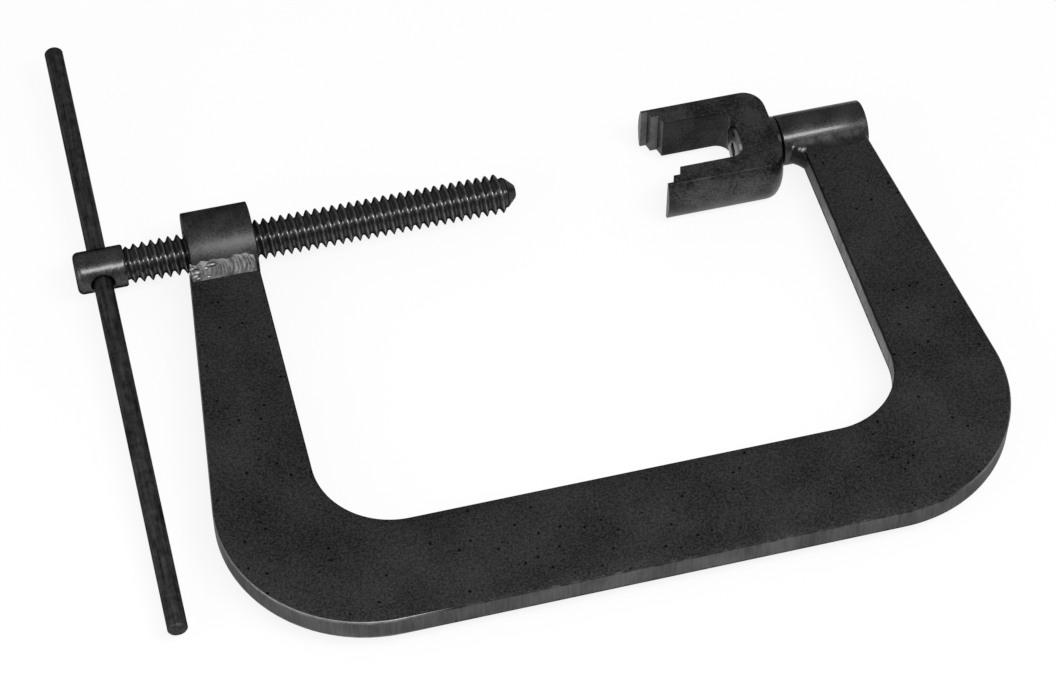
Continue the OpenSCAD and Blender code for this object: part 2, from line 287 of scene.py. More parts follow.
class Studio(bpy.types.PropertyGroup):
    lens: level("Lens", "Focal length for a sensor 36 mm wide", 101.4562)
    eye: bpy.props.FloatVectorProperty(
        name="Eye", description="Place of the camera", default=(-0.270406, -0.804463, 0.935436),
        subtype="TRANSLATION", unit="LENGTH", precision=5)
    turn: angle("Turn", "Turn of the camera about the upright", -14.5310)
    tilt: angle("Tilt", "Tilt of the camera from straight down", 38.6876)
    roll: angle("Roll", "Roll of the camera about its own axis", 0.2012)
    shift: bpy.props.FloatVectorProperty(
        name="Shift", description="Shift of the picture as a share of its width",
        default=(-0.000473, 0.000473), size=2, precision=6)
    floor_size: length("Floor", "Width of the floor", 6000)
    floor_colour: paint("Floor colour", "Pale floor", "#fafafa")
    floor_white: level("Floor white", "Share of plain white that the floor shows the eye", 0.86)
    dome: level("Dome", "Strength of the even light from all round", 0.42)
    key_power: power("Key", "Power of the long soft lamp in front", 14)
    fill_power: power("Fill", "Power of the wide lamp on the left", 5)


def add_node(tree, kind, inputs=(), output=0, **settings):
    """Adds a shader node of a kind with its settings, gives its inputs values or links, by name or number
    or in order, and gives back one of its outputs."""
    node = tree.nodes.new("ShaderNode" + kind)
    for key, value in settings.items():
        setattr(node, key, value)
    for key, value in inputs.items() if isinstance(inputs, dict) else enumerate(inputs):
        if isinstance(value, bpy.types.NodeSocket):
            tree.links.new(value, node.inputs[key])
        else:
            node.inputs[key].default_value = value
    return node.outputs[output]


def new_finish(name, glance=1.0):
    """An empty metal finish: its material, its shader and the means of adding a node. The glance is the
    share of its brightness that it keeps at a glancing view; oxide keeps little, so that outlines stay
    dark."""
    material = bpy.data.materials.new(name)
    material.use_nodes = True
    shader = material.node_tree.nodes["Principled BSDF"]
    shader.inputs["Metallic"].default_value = 1.0
    shader.inputs["Specular Tint"].default_value = (glance, glance, glance, 1.0)
    return material, shader, partial(add_node, material.node_tree)


def end_finish(material, tone, worn, relief):
    """Links a finish: its colour, its roughness, as a pattern, the range of that and the roughness at both
    ends of the range, and its bumps, as a pattern, their strength and their depth."""
    tree = material.node_tree
    rough = add_node(tree, "MapRange", worn)
    bump = add_node(tree, "Bump", dict(zip(("Height", "Strength", "Distance"), relief)))
    for name, socket in (("Base Color", tone), ("Roughness", rough), ("Normal", bump)):
        tree.links.new(socket, tree.nodes["Principled BSDF"].inputs[name])
    return material


def per(millimetres):
    """Texture scale at which one feature is so many millimetres wide."""
    return 1 / (millimetres * MM)


def plate_finish(f):
    """Hot-rolled plate, blasted and chemically blackened. The eye gets a dull, almost black face
    with a fine salt-and-pepper grain, soft clouds and a few dark pits. The real grain is about
    0.3 mm, which is under a pixel, so it is drawn 0.9 mm wide."""
    material, _, add = new_finish("blackened_plate", glance=0.3)
    place = add("TexCoord", output="Object")
    grain = add("TexNoise", {"Vector": place, "Scale": per(0.9), "Detail": 3.0, "Roughness": 0.65})
    cloud = add("TexNoise", {"Vector": place, "Scale": per(28), "Detail": 2.0})
    pit = add("TexVoronoi", {"Vector": place, "Scale": per(5.5)})
    mixed = add("Math", (cloud, 0.4, grain), operation="MULTIPLY_ADD")
    share = add("MapRange", (mixed, 0.5, 0.9))
    body = add("Mix", {0: share, MIX_A: f.plate_dark, MIX_B: f.plate_light}, MIX_OUT, data_type="RGBA")
    hole = add("MapRange", (pit, 0.07, 0.15, 0.12, 1.0))
    tone = add("Mix", {0: 1.0, MIX_A: body, MIX_B: hole}, MIX_OUT, data_type="RGBA", blend_type="MULTIPLY")
    dents = add("Math", (grain, hole), operation="MULTIPLY")
    return end_finish(material, tone, (grain, *ONE_NOISE, 0.46, 0.62), (dents, 0.35, COARSE))


def cut_edge_finish(name, dark, light, oxide, rubbed, margin):
    """Flame-cut and ground edge of the plate under thin oxide. The eye gets a paler satin strip with
    fine furrows square to the plate and ragged dark margins, where the oxide was left beyond the given
    distance from the middle. On the two lower corners, on which the tool is set down, the margins are
    paler: partly rubbed, partly a painted highlight. The strip is painted darker up the arms, towards
    the bars, as painted shade. The furrows follow the strip on its UV map; the real ones are 0.5 mm
    apart and are drawn 1.1 mm wide."""
    # Painted shade: the strip darkens from 38 mm to 12 mm below the bars' axis, up the arms
    shade_start, shade_full, shade_depth = -38 * MM, -12 * MM, 0.35
    ragged_by, soft = 2.4 * MM, 1.3 * MM
    middle, near, at_corner = sum(span("c_frame", 0)) / 2 + 18 * MM, 98 * MM, 118 * MM
    material, _, add = new_finish(name, glance=0.5)
    drawn = add("Mapping", {"Vector": add("TexCoord", output="UV"), "Scale": (1.0, 0.08, 1.0)})
    furrow = add("TexNoise", {"Vector": drawn, "Scale": per(1.1), "Detail": 4.0, "Roughness": 0.6})
    place = add("TexCoord", output="Object")
    patch = add("TexNoise", {"Vector": place, "Scale": per(14), "Detail": 3.0})
    rag = add("TexNoise", {"Vector": place, "Scale": per(3), "Detail": 3.0})
    mixed = add("Math", (furrow, patch), operation="ADD")
    share = add("MapRange", (mixed, *TWO_NOISES))
    metal = add("Mix", {0: share, MIX_A: dark, MIX_B: light}, MIX_OUT, data_type="RGBA")
    x, y, z = (add("SeparateXYZ", (place,), axis) for axis in "XYZ")
    # Painted shade, darker up the arms towards the bars
    painted_shade_ramp = add("MapRange", (y, shade_start, shade_full, 1.0, shade_depth))
    shaded_strip = add("Mix", {0: 1.0, MIX_A: metal, MIX_B: painted_shade_ramp}, MIX_OUT, data_type="RGBA",
                 blend_type="MULTIPLY")
    off = add("Math", (z,), operation="ABSOLUTE")
    ragged = add("Math", (rag, ragged_by, off), operation="MULTIPLY_ADD")
    bare = add("MapRange", (ragged, margin, margin + soft, 1.0, 0.0))
    aside = add("Math", (x, middle), operation="SUBTRACT")
    far = add("Math", (aside,), operation="ABSOLUTE")
    # Partly rubbing, partly a painted highlight: the margins turn paler towards the two lower corners
    corner = add("MapRange", (far, near, at_corner))
    rim = add("Mix", {0: corner, MIX_A: oxide, MIX_B: rubbed}, MIX_OUT, data_type="RGBA")
    tone = add("Mix", {0: bare, MIX_A: rim, MIX_B: shaded_strip}, MIX_OUT, data_type="RGBA")
    return end_finish(material, tone, (furrow, *ONE_NOISE, 0.36, 0.5), (furrow, 0.25, COARSE))


def turned_finish(name, dark, light, gloss, film=0.0):
    """Steel turned on a lathe and blackened. The eye gets a satin black with fine rings square to
    the axis, soft patches where the oxide is thinner and, where an oil film is left on it, a thin
    bright line in the soft one. The rings follow Object X; the real feed is about 0.15 mm, and they
    are drawn 0.5 mm wide, so that they show."""
    material, shader, add = new_finish(name, glance=0.25)
    place = add("TexCoord", output="Object")
    along = add("Mapping", {"Vector": place, "Scale": (1.0, 0.03, 0.03)})
    rings = add("TexNoise", {"Vector": along, "Scale": per(0.5), "Detail": 3.0, "Roughness": 0.7})
    grain = add("TexNoise", {"Vector": place, "Scale": per(0.9), "Detail": 2.0})
    patch = add("TexNoise", {"Vector": place, "Scale": per(9), "Detail": 3.0})
    mixed = add("Math", (patch, grain), operation="ADD")
    share = add("MapRange", (mixed, *TWO_NOISES))
    tone = add("Mix", {0: share, MIX_A: dark, MIX_B: light}, MIX_OUT, data_type="RGBA")
    shader.inputs["Coat Weight"].default_value = film
    shader.inputs["Coat Roughness"].default_value = FILM_GLOSS
    return end_finish(material, tone, (mixed, 0.7, 1.3, gloss - 0.05, gloss + 0.07), (rings, 0.25, FINE))


def thread_finish(f):
    """Cut thread, blackened and rubbed in its nut. The eye gets dark flanks and, because the tool marks
    run round the thread and spread its sheen along the axis, a row of short bright glints on the side
    that faces the light. How far a point is up the thread is its distance from the X axis."""
    root, crest = 6.3 * MM, 8.3 * MM
    material, shader, add = new_finish("rubbed_thread", glance=0.1)
    tree = material.node_tree
    place = add("TexCoord", output="Object")
    flat = add("VectorMath", (place, (0.0, 1.0, 1.0)), operation="MULTIPLY")
    reach = add("VectorMath", (flat,), "Value", operation="LENGTH")
    up = add("MapRange", (reach, root, crest))
    grain = add("TexNoise", {"Vector": place, "Scale": per(1.2), "Detail": 3.0})
    worn = add("Math", (up, grain), operation="MULTIPLY")
    share = add("MapRange", (worn, 0.32, 0.56))
    tone = add("Mix", {0: share, MIX_A: f.thread_root, MIX_B: f.thread_crest}, MIX_OUT, data_type="RGBA")
    axis = add("VectorTransform", ((1.0, 0.0, 0.0),), vector_type="VECTOR",
               convert_from="OBJECT", convert_to="WORLD")
    shader.inputs["Anisotropic"].default_value = 1.0
    tree.links.new(axis, shader.inputs["Tangent"])
    oxide = add("BsdfDiffuse", {"Color": f.thread_matte})
    matte = add("MapRange", (up, 0.6, 1.0, 0.25, 0.05))
    both = add("MixShader", (matte, shader.outputs[0], oxide))
    tree.links.new(both, tree.nodes["Material Output"].inputs["Surface"])
    return end_finish(material, tone, (grain, *ONE_NOISE, 0.29, 0.37), (grain, 0.15, FINE))


def bar_finish(f):
    """Cold-drawn rod, blackened and handled. The eye gets a dull black with long faint draw lines and
    dark blotches. The bar lies along Y, so the lines are stretched along Object Y."""
    material, _, add = new_finish("blackened_rod", glance=0.4)
    place = add("TexCoord", output="Object")
    drawn = add("Mapping", {"Vector": place, "Scale": (1.0, 0.05, 1.0)})
    lines = add("TexNoise", {"Vector": drawn, "Scale": per(1.0), "Detail": 2.0})
    blotch = add("TexNoise", {"Vector": place, "Scale": per(3.5), "Detail": 4.0, "Roughness": 0.65})
    mixed = add("Math", (lines, blotch), operation="ADD")
    share = add("MapRange", (mixed, 0.7, 1.3))
    tone = add("Mix", {0: share, MIX_A: f.bar_dark, MIX_B: f.bar_light}, MIX_OUT, data_type="RGBA")
    return end_finish(material, tone, (blotch, *ONE_NOISE, 0.48, 0.62), (lines, 0.2, FINE))


def weld_finish(name, dark, light, gloss):
    """Weld metal as it froze. The eye gets rippled metal, bare or blackened, with darker oxide in
    patches. The ripples and drops themselves are in the mesh."""
    material, _, add = new_finish(name)
    place = add("TexCoord", output="Object")
    scale = add("TexNoise", {"Vector": place, "Scale": per(1.3), "Detail": 4.0, "Roughness": 0.6})
    patch = add("TexNoise", {"Vector": place, "Scale": per(5), "Detail": 2.0})
    mixed = add("Math", (scale, patch), operation="ADD")
    share = add("MapRange", (mixed, *TWO_NOISES))
    tone = add("Mix", {0: share, MIX_A: dark, MIX_B: light}, MIX_OUT, data_type="RGBA")
    return end_finish(material, tone, (scale, *ONE_NOISE, gloss - 0.06, gloss + 0.1), (scale, 0.2, FINE))


def plain_steel_finish(f):
    """Plain steel screw, oiled and a little rubbed. The eye gets a brighter grey with soft stains."""
    material, _, add = new_finish("plain_steel")
    place = add("TexCoord", output="Object")
    stain = add("TexNoise", {"Vector": place, "Scale": per(2.5), "Detail": 4.0, "Roughness": 0.6})
    tone = add("Mix", {0: stain, MIX_A: f.screw_dark, MIX_B: f.screw_light}, MIX_OUT, data_type="RGBA")
    return end_finish(material, tone, (stain, *ONE_NOISE, 0.28, 0.44), (stain, 0.15, FINE))


def fork_finish(name, dark, light):
    """Milled and blackened bar. The eye gets the plate's dull black, a little smoother, with faint
    tool lines along the legs and soft clouds. With paler colours it is the treads, painted as lit, and with
    darker ones the slot walls and the hub, painted as in shade."""
    material, _, add = new_finish(name)
    place = add("TexCoord", output="Object")
    along = add("Mapping", {"Vector": place, "Scale": (0.06, 1.0, 1.0)})
    lines = add("TexNoise", {"Vector": along, "Scale": per(0.9), "Detail": 2.0})
    grain = add("TexNoise", {"Vector": place, "Scale": per(1.0), "Detail": 3.0})
    cloud = add("TexNoise", {"Vector": place, "Scale": per(11), "Detail": 2.0})
    mixed = add("Math", (grain, cloud), operation="ADD")
    share = add("MapRange", (mixed, 0.82, 1.18))
    tone = add("Mix", {0: share, MIX_A: dark, MIX_B: light}, MIX_OUT, data_type="RGBA")
    return end_finish(material, tone, (grain, *ONE_NOISE, 0.32, 0.44), (lines, 0.2, FINE))


def steps_of(points, axis):
    """Length run along a grid of points up to each row or column, at the middle of the other way."""
    middle = np.take(points, points.shape[1 - axis] // 2, axis=1 - axis)
    return np.concatenate([[0], np.cumsum(np.linalg.norm(np.diff(middle, axis=0), axis=1))])


def grid_faces(rows, columns):
    """Corner numbers of the four-sided faces between neighbours of a grid."""
    r, c = np.meshgrid(np.arange(rows - 1), np.arange(columns - 1), indexing="ij")
    low = r * columns + c
    return np.stack([low, low + 1, low + columns + 1, low + columns], -1).reshape(-1, 4)


def make_mesh(name, patches):
    """Joins grids of points into one closed mesh. Each patch is a grid and a finish number. Points
    that meet are merged, which closes seams and poles, and the faces are turned outwards. The UV map
    holds the lengths run along the rows and the columns of each grid, in metres."""
    points, faces, uvs, numbers, first = [], [], [], [], 0
    for grid, number in patches:
        rows, columns = grid.shape[:2]
        u, v = np.meshgrid(steps_of(grid, 0), steps_of(grid, 1), indexing="ij")
        quads = grid_faces(rows, columns)
        points.append(grid.reshape(-1, 3))
        faces.append(quads + first)
        uvs.append(np.stack([u, v], -1).reshape(-1, 2)[quads.ravel()])
        numbers.append(np.full(len(quads), number))
        first += rows * columns
    mesh = bpy.data.meshes.new(name)
    mesh.from_pydata(np.concatenate(points).tolist(), [], np.concatenate(faces).tolist())
    mesh.uv_layers.new(name="lengths").data.foreach_set("uv", np.concatenate(uvs).ravel())
    mesh.polygons.foreach_set("material_index", np.concatenate(numbers).astype(np.int32))
    work = bmesh.new()
    work.from_mesh(mesh)
    bmesh.ops.remove_doubles(work, verts=work.verts, dist=MERGE)
    bmesh.ops.dissolve_degenerate(work, edges=work.edges, dist=MERGE)
    bmesh.ops.recalc_face_normals(work, faces=work.faces)
    open_edges = sum(not e.is_manifold for e in work.edges)
    work.to_mesh(mesh)
    work.free()
    if open_edges:
        raise RuntimeError(f"{name} has {open_edges} open edges")
    return mesh


def finished(name, mesh, finishes, node, body):
    """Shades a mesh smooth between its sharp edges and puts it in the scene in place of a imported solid, on
    the body that the solid rides on."""
    mesh.polygons.foreach_set("use_smooth", np.ones(len(mesh.polygons), bool))
    mesh.set_sharp_from_angle(angle=SHARP_ANGLE)
    piece = bpy.data.objects.new(name, mesh)
    bpy.context.scene.collection.objects.link(piece)
    for finish in finishes:
        mesh.materials.append(finish)
    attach(piece, body)
    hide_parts(node)


def corner_rounds(points, radii, steps):
    """Rounds the corners of a path. At each inner point the arc of its radius touches both edges: it
    starts at the radius over the tangent of half the angle between them before the corner and follows
    the circle."""
    before, at, after = points[:-2], points[1:-1], points[2:]
    back = (before - at) / np.linalg.norm(before - at, axis=1, keepdims=True)
    on = (after - at) / np.linalg.norm(after - at, axis=1, keepdims=True)
    half = np.arccos(np.clip((back * on).sum(1), -1, 1)) / 2
    middle = (back + on) / np.linalg.norm(back + on, axis=1, keepdims=True)
    centre = at + middle * (radii / np.sin(half))[:, None]
    start = (at + back * (radii / np.tan(half))[:, None] - centre)[:, None]
    side = (at + on * (radii / np.tan(half))[:, None] - centre)[:, None]
    share = np.linspace(0, 1, steps + 1)[None, :, None]
    a = (math.pi - 2 * half)[:, None, None]
    arcs = centre[:, None] + (np.sin((1 - share) * a) * start + np.sin(share * a) * side) / np.sin(a)
    return np.concatenate([points[:1], arcs.reshape(-1, points.shape[1]), points[-1:]])


def rounded_profile(points, radius):
    """A turned profile with its corners rounded to one radius."""
    points = np.asarray(points, float)
    return corner_rounds(points, np.full(len(points) - 2, radius), ROUND_STEPS)


def end_round(radius, place, size, angles=END_ARC, way=1):
    """Profile of a rounded end: the radius less the size times one less the sine of each angle, and the
    place, further on, or back where the way is -1, by the size times one less the cosine."""
    return np.stack([radius - size * (1 - np.sin(angles)), place + way * size * (1 - np.cos(angles))], 1)


def turned(profile, start=0.0):
    """A profile of radius and place turned about X: each point goes round a circle of its radius,
    from the start angle, measured from Y towards Z, and back to it."""
    profile = np.asarray(profile, float)
    a = start + np.linspace(0, TURN, RING + 1)
    r, x = profile[:, :1], profile[:, 1:]
    return np.stack([x + 0 * a, r * np.cos(a), r * np.sin(a)], -1)


def section_round(edge, thickness, across, wall):
    """Section of a flat bar with rounded edges, as front, rear, inner wall and outer wall. Each has three
    rows: the height of each point, its set-in from the outer or inner edge, and its share of the width.
    The front and the rear run from the outer edge to the inner one, and the walls across the bar."""
    half = thickness / 2
    a = np.linspace(0, QUARTER, ROUND_STEPS + 1)
    share = np.linspace(0, 1, across + 1)
    front = np.stack([np.full(across + 1, half), edge * (1 - 2 * share), share])
    bend = np.stack([half - edge * (1 - np.cos(a)), -edge * (1 - np.sin(a)), np.ones(len(a))])
    down = np.linspace(half - edge, edge - half, wall + 1)
    side = np.stack([down, 0 * down, np.ones(wall + 1)])
    inner = np.concatenate([bend[:, :-1], side, (bend * [[-1], [1], [1]])[:, -2::-1]], 1)
    outer = (inner * [[1], [-1], [1]])[:, ::-1]
    outer[2] = 0
    return front, front * [[-1], [1], [1]], inner, outer


def carried(outer, inner, section):
    """Carries a section along two curves: a point sits on the line from the outer to the inner curve,
    at its set-in plus its share of the distance. Both curves are functions of the section's height."""
    z, inset, share = section
    o, i = outer(z), inner(z)
    gap = i - o
    wide = np.linalg.norm(gap, axis=-1, keepdims=True)
    flat = o + gap / wide * (inset[None, :, None] + share[None, :, None] * wide)
    return np.concatenate([flat, np.broadcast_to(z[None, :, None], (*flat.shape[:2], 1))], -1)


def end_cap(outer, inner, front, inner_wall, outer_wall, station, wall):
    """Closes the end of a carried section: every point of its front half, from the outer wall over the
    front to the inner wall, is joined straight to its fellow on the rear half."""
    bend = len(inner_wall[0]) // 2 - wall // 2
    half = np.concatenate([outer_wall[:, -bend - 1:-1], front, inner_wall[:, 1:bend + 1]], 1)
    z = half[0][:, None] * (1 - 2 * np.linspace(0, 1, wall + 1))[None, :]
    rows = [carried(outer, inner, np.stack([z[:, j], half[1], half[2]]))[station] for j in range(wall + 1)]
    return np.stack(rows, 1)


def flat_bar(curves, edge, thickness, across, wall, numbers):
    """A flat bar between its outer and inner curve: its section is carried along both, the four sides get
    their finish numbers, and both ends are closed and take the number of the outer wall."""
    section = section_round(edge, thickness, across, wall)
    front, _, inner_wall, outer_wall = section
    sides = [(carried(*curves, part), number) for part, number in zip(section, numbers)]
    ends = [end_cap(*curves, front, inner_wall, outer_wall, station, wall) for station in (0, -1)]
    return sides + [(end, numbers[-1]) for end in ends]


def waver(t, millimetres, seed):
    """Smooth unevenness between about -1 and 1: five sines of t with wavelengths round the given one
    and phases drawn from the seed."""
    sines, shortest, longest, gain = 5, 0.6, 1.8, 1.6
    draw = np.random.default_rng(seed)
    lengths = millimetres * MM * draw.uniform(shortest, longest, sines)
    phases = draw.uniform(0, TURN, sines)
    return np.sin(TURN * np.asarray(t)[..., None] / lengths + phases).mean(-1) * gain


def uneven(size, share, t, millimetres, seed):
    """A size that wavers along t by up to about a share of itself."""
    return size * (1 + share * waver(t, millimetres, seed))


def ease(t):
    """Rises smoothly from 0 at 0 to 1 at 1: three t squared less two t cubed."""
    t = np.clip(t, 0, 1)
    return t * t * (3 - 2 * t)


def plate_curves(s, boss_r, pivot_r):
    """Outer and inner edge of the C as functions of the height in the plate. Both start on the saddle
    of the near arm, where y is minus the root of radius squared less height squared, run down the arm,
    round the corner as an arc, along the spine, and up the far arm to its own saddle."""
    middle = sum(span("c_frame", 0)) / 2
    foot = span("c_frame", 1)[0] + s.tuck
    half_throat, shelf = s.throat / 2, foot + s.spine - s.tuck
    half_foot = half_throat + s.arm_root - s.tuck
    reach = s.outer_round / math.tan((QUARTER - s.taper) / 2)
    foot_x = half_foot - reach
    inner_x = half_throat - s.inner_round
    down = np.linspace(0, 1, 15)[:, None]
    along = np.linspace(1, -1, 25)
    bend = np.linspace(0, 1, 33)

    def arm(z, radius, side, outside):
        top = -np.sqrt(radius ** 2 - z ** 2)
        low = foot + reach * math.cos(s.taper) if outside else shelf + s.inner_round
        y = top + (low - top) * down
        x = half_foot - (y - foot) * math.tan(s.taper) if outside else half_throat + 0 * y
        return np.stack([middle + side * x, y], -1)

    def lower(outside):
        r = s.outer_round if outside else s.inner_round
        first = s.taper if outside else 0.0
        a = first + (-QUARTER - first) * bend[1:]
        x0, y0 = (foot_x, foot + r) if outside else (inner_x, shelf + r)
        right = np.stack([x0 + r * np.cos(a), y0 + r * np.sin(a)], -1)
        flat = np.stack([x0 * along[1:-1], np.full(len(along) - 2, y0 - r)], -1)
        whole = np.concatenate([right, flat, (right * [-1, 1])[::-1]])[::-1]
        return whole + [middle, 0]

    def curve(outside):
        def at(z):
            low = lower(outside)[:, None]
            low = np.broadcast_to(low, (len(low), len(z), 2))
            return np.concatenate([arm(z, boss_r, -1, outside), low, arm(z, pivot_r, 1, outside)[::-1]])
        return at

    return curve(True), curve(False)


class COMPRESSOR_OT_plate(bpy.types.Operator):
    """Makes the C-shaped plate with worn edges and paler cut edges"""
    bl_idname = "compressor.plate"
    bl_label = "C-frame plate"

    def execute(self, context):
        s, f = context.scene.compressor_plate, context.scene.compressor_finishes
        thickness = span("c_frame", 2)[1] * 2
        boss_r, pivot_r = (span(node, 2)[1] + s.seat_gap for node in ("screw_boss", "pivot_bar"))
        curves = plate_curves(s, boss_r, pivot_r)
        patches = flat_bar(curves, s.edge, thickness, across=8, wall=6, numbers=(0, 0, 2, 1))
        black = f.plate_dark
        cut_edge = cut_edge_finish("cut_plate_edge", f.edge_dark, f.edge_light, black, f.edge_rubbed_highlight,
                                   margin=5.1 * MM)
        inner_edge = cut_edge_finish("ground_inner_edge", f.inner_dark, f.inner_light, black, black,
                                     margin=4.2 * MM)
        finishes = [plate_finish(f), cut_edge, inner_edge]
        finished("plate", make_mesh("plate", patches), finishes, "c_frame", "frame")
        return {"FINISHED"}


class COMPRESSOR_OT_boss(bpy.types.Operator):
    """Makes the round boss that carries the forcing screw"""
    bl_idname = "compressor.boss"
    bl_label = "Screw boss"

    def execute(self, context):
        s, f = context.scene.compressor_rounds, context.scene.compressor_finishes
        (x0, x1), r = span("screw_boss", 0), span("screw_boss", 2)[1]
        bore, sink = s.boss_bore / 2, s.boss_sink
        outside = rounded_profile([[bore + sink, x0], [r, x0], [r, x1], [bore + sink, x1]], s.boss_edge)
        profile = np.concatenate([outside, [[bore, x1 - sink], [bore, x0 + sink], [bore + sink, x0]]])
        mesh = make_mesh("boss", [(turned(profile), 0)])
        finish = turned_finish("blackened_boss", f.turned_dark, f.turned_light, gloss=0.46)
        finished("boss", mesh, [finish], "screw_boss", "frame")
        return {"FINISHED"}


def head_patches(s, x0, x1, r, hole_x, lean):
    """Plain head with a cross hole. Its side is two half cylinders. On each one, rows of points run from
    the rim of the hole to the border of the half: a row is the straight mix of rim and border in
    place and angle. The rim is where a cylinder of the hole's radius plus its rounding meets the side,
    the rounding is a quarter circle, and the hole runs straight through."""
    half_ring, side, rows, crowd, bore_rows = RING // 2, 12, 9, 1.3, 8
    border_a = np.linspace(-QUARTER, QUARTER, half_ring + 1)
    side_x = np.linspace(x0, x1, side + 1)
    place = np.concatenate([side_x, np.full(half_ring, x1), side_x[-2::-1], np.full(half_ring, x0)])
    turn = np.concatenate([np.full(side + 1, -QUARTER), border_a[1:], np.full(side, QUARTER),
                           border_a[-2::-1]])
    way = np.arctan2(r * turn, place - hole_x)
    hole, edge = s.hole / 2, s.hole_edge
    a = np.linspace(0, QUARTER, ROUND_STEPS + 1)[:, None]
    rho = hole + edge * (1 - np.sin(a))
    across = rho * np.sin(way)
    height = np.sqrt(r ** 2 - across ** 2) - edge * (1 - np.cos(a))
    share = np.linspace(0, 1, rows + 1)[:, None] ** crowd
    rim_x, rim_turn = hole_x + rho[0] * np.cos(way), np.arcsin(rho[0] * np.sin(way) / r)
    patches = []
    for flip in (0, math.pi):
        x = rim_x + (place - rim_x) * share
        t = lean + flip + rim_turn + (turn - rim_turn) * share
        patches.append((np.stack([x, r * np.cos(t), r * np.sin(t)], -1), 0))
        c, d = math.cos(lean + flip), math.sin(lean + flip)
        rim = np.stack([hole_x + rho * np.cos(way), height * c - across * d, height * d + across * c], -1)
        patches.append((rim, 0))
    c, d = math.cos(lean), math.sin(lean)
    depth = height[-1] * np.linspace(1, -1, bore_rows + 1)[:, None]
    x, wide = hole_x + hole * np.cos(way) + 0 * depth, across[-1] + 0 * depth
    return patches + [(np.stack([x, depth * c - wide * d, depth * d + wide * c], -1), 0)]


def thread_grid(s, x0, x1, start):
    """Right-hand thread between two root circles, and the angle at which it ends. A row of points follows
    the helix: its place is the first place plus the pitch times turns plus its own share of the pitch,
    held between both circles. Its height is that of a 60 degree thread with rounded crest and root at
    that share, lower in the first turns, and kept under a 45 degree chamfer at both ends, where the rows
    shrink to the circles."""
    pitch, root = s.pitch, s.thread / 2 - s.depth
    crest, flank = s.crest * pitch / 2, s.depth / math.tan(math.pi / 3)
    foot = pitch / 2 - crest - flank
    path = np.array([[0, 0], [foot, 0], [foot + flank, s.depth], [pitch - foot - flank, s.depth],
                     [pitch - foot, 0], [pitch, 0]])
    radii = np.array([s.root_round, s.crest_round, s.crest_round, s.root_round])
    along, rise = corner_rounds(path, radii, ROUND_STEPS - 1).T
    crest_share, upward = 0.5, 0.25  # the crest is half a pitch along, and up is a quarter turn from Y
    ahead = (s.crest_place - x0) / pitch + start / TURN - (crest_share + upward)
    first = x0 - 2 * pitch + pitch * (ahead % 1)
    count = math.ceil((x1 - first) / pitch * RING)
    q = np.arange(count + 1)[:, None]
    place = np.clip(first + pitch * q / RING + along, x0, x1)
    full = s.run_in + (1 - s.run_in) * np.clip((place - x0) / (s.run_in_turns * pitch), 0, 1)
    high = root + np.minimum(rise * full, np.minimum(place - x0, x1 - place))
    turn = start + TURN * q / RING
    return np.stack([place, high * np.cos(turn), high * np.sin(turn)], -1), start + TURN * count / RING


class COMPRESSOR_OT_screw(bpy.types.Operator):
    """Makes the forcing screw with its plain head, cross hole and true helical thread"""
    bl_idname = "compressor.screw"
    bl_label = "Forcing screw"

    def execute(self, context):
        s, f = context.scene.compressor_screw, context.scene.compressor_finishes
        lean = context.scene.compressor_bar.lean
        (x0, x1), r = span("forcing_screw", 0), span("forcing_screw", 2)[1]
        head_end, chamfer, slope = x0 + s.head, 0.8 * MM, 0.6
        split = lean + QUARTER
        root, seat, bottom = s.thread / 2 - s.depth, s.nose_seat / 2, x1 - s.nose_seat_depth
        cap = np.concatenate([[[0, x0]], end_round(r, x0, s.head_round)])
        shoulder = [[r, head_end - chamfer], [r - chamfer * slope, head_end], [root, head_end]]
        patches = [(turned(cap, split), 0), (turned(rounded_profile(shoulder, SMALL_ROUND), split), 0)]
        patches += head_patches(s, cap[-1, 1], head_end - chamfer, r, x0 + s.head / 2, lean)
        thread, turn = thread_grid(s, head_end, x1, split)
        blind = [[root, x1], [seat, x1], [seat, bottom], [0, bottom]]
        mesh = make_mesh("forcing_screw", patches + [(thread, 1), (turned(blind, turn), 1)])
        head = turned_finish("blackened_head", f.head_dark, f.head_light, gloss=0.29)
        finished("threaded_screw", mesh, [head, thread_finish(f)], "forcing_screw", "screw")
        return {"FINISHED"}


class COMPRESSOR_OT_nose(bpy.types.Operator):
    """Makes the tapered nose on the end of the screw"""
    bl_idname = "compressor.nose"
    bl_label = "Screw nose"

    def execute(self, context):
        s, f = context.scene.compressor_screw, context.scene.compressor_finishes
        x0, x1 = span("screw_nose", 0)
        start, stub, root = x1 - s.nose_length, s.nose_stub / 2, s.nose_root / 2
        chamfer, edge = 0.4 * MM, 0.1 * MM
        tip = end_round(s.nose_tip / 2, x1, s.nose_round, np.linspace(math.pi / 4, 0, 9), -1)
        profile = np.concatenate([[[0, x0], [stub - chamfer, x0], [stub, x0 + chamfer], [stub, start],
                                   [root - edge, start], [root, start + edge]], tip, [[0, x1]]])
        mesh = make_mesh("nose", [(turned(profile), 0)])
        finish = turned_finish("blackened_nose", f.head_dark, f.head_light, gloss=0.42, film=0.2)
        finished("nose", mesh, [finish], "screw_nose", "nose")
        return {"FINISHED"}


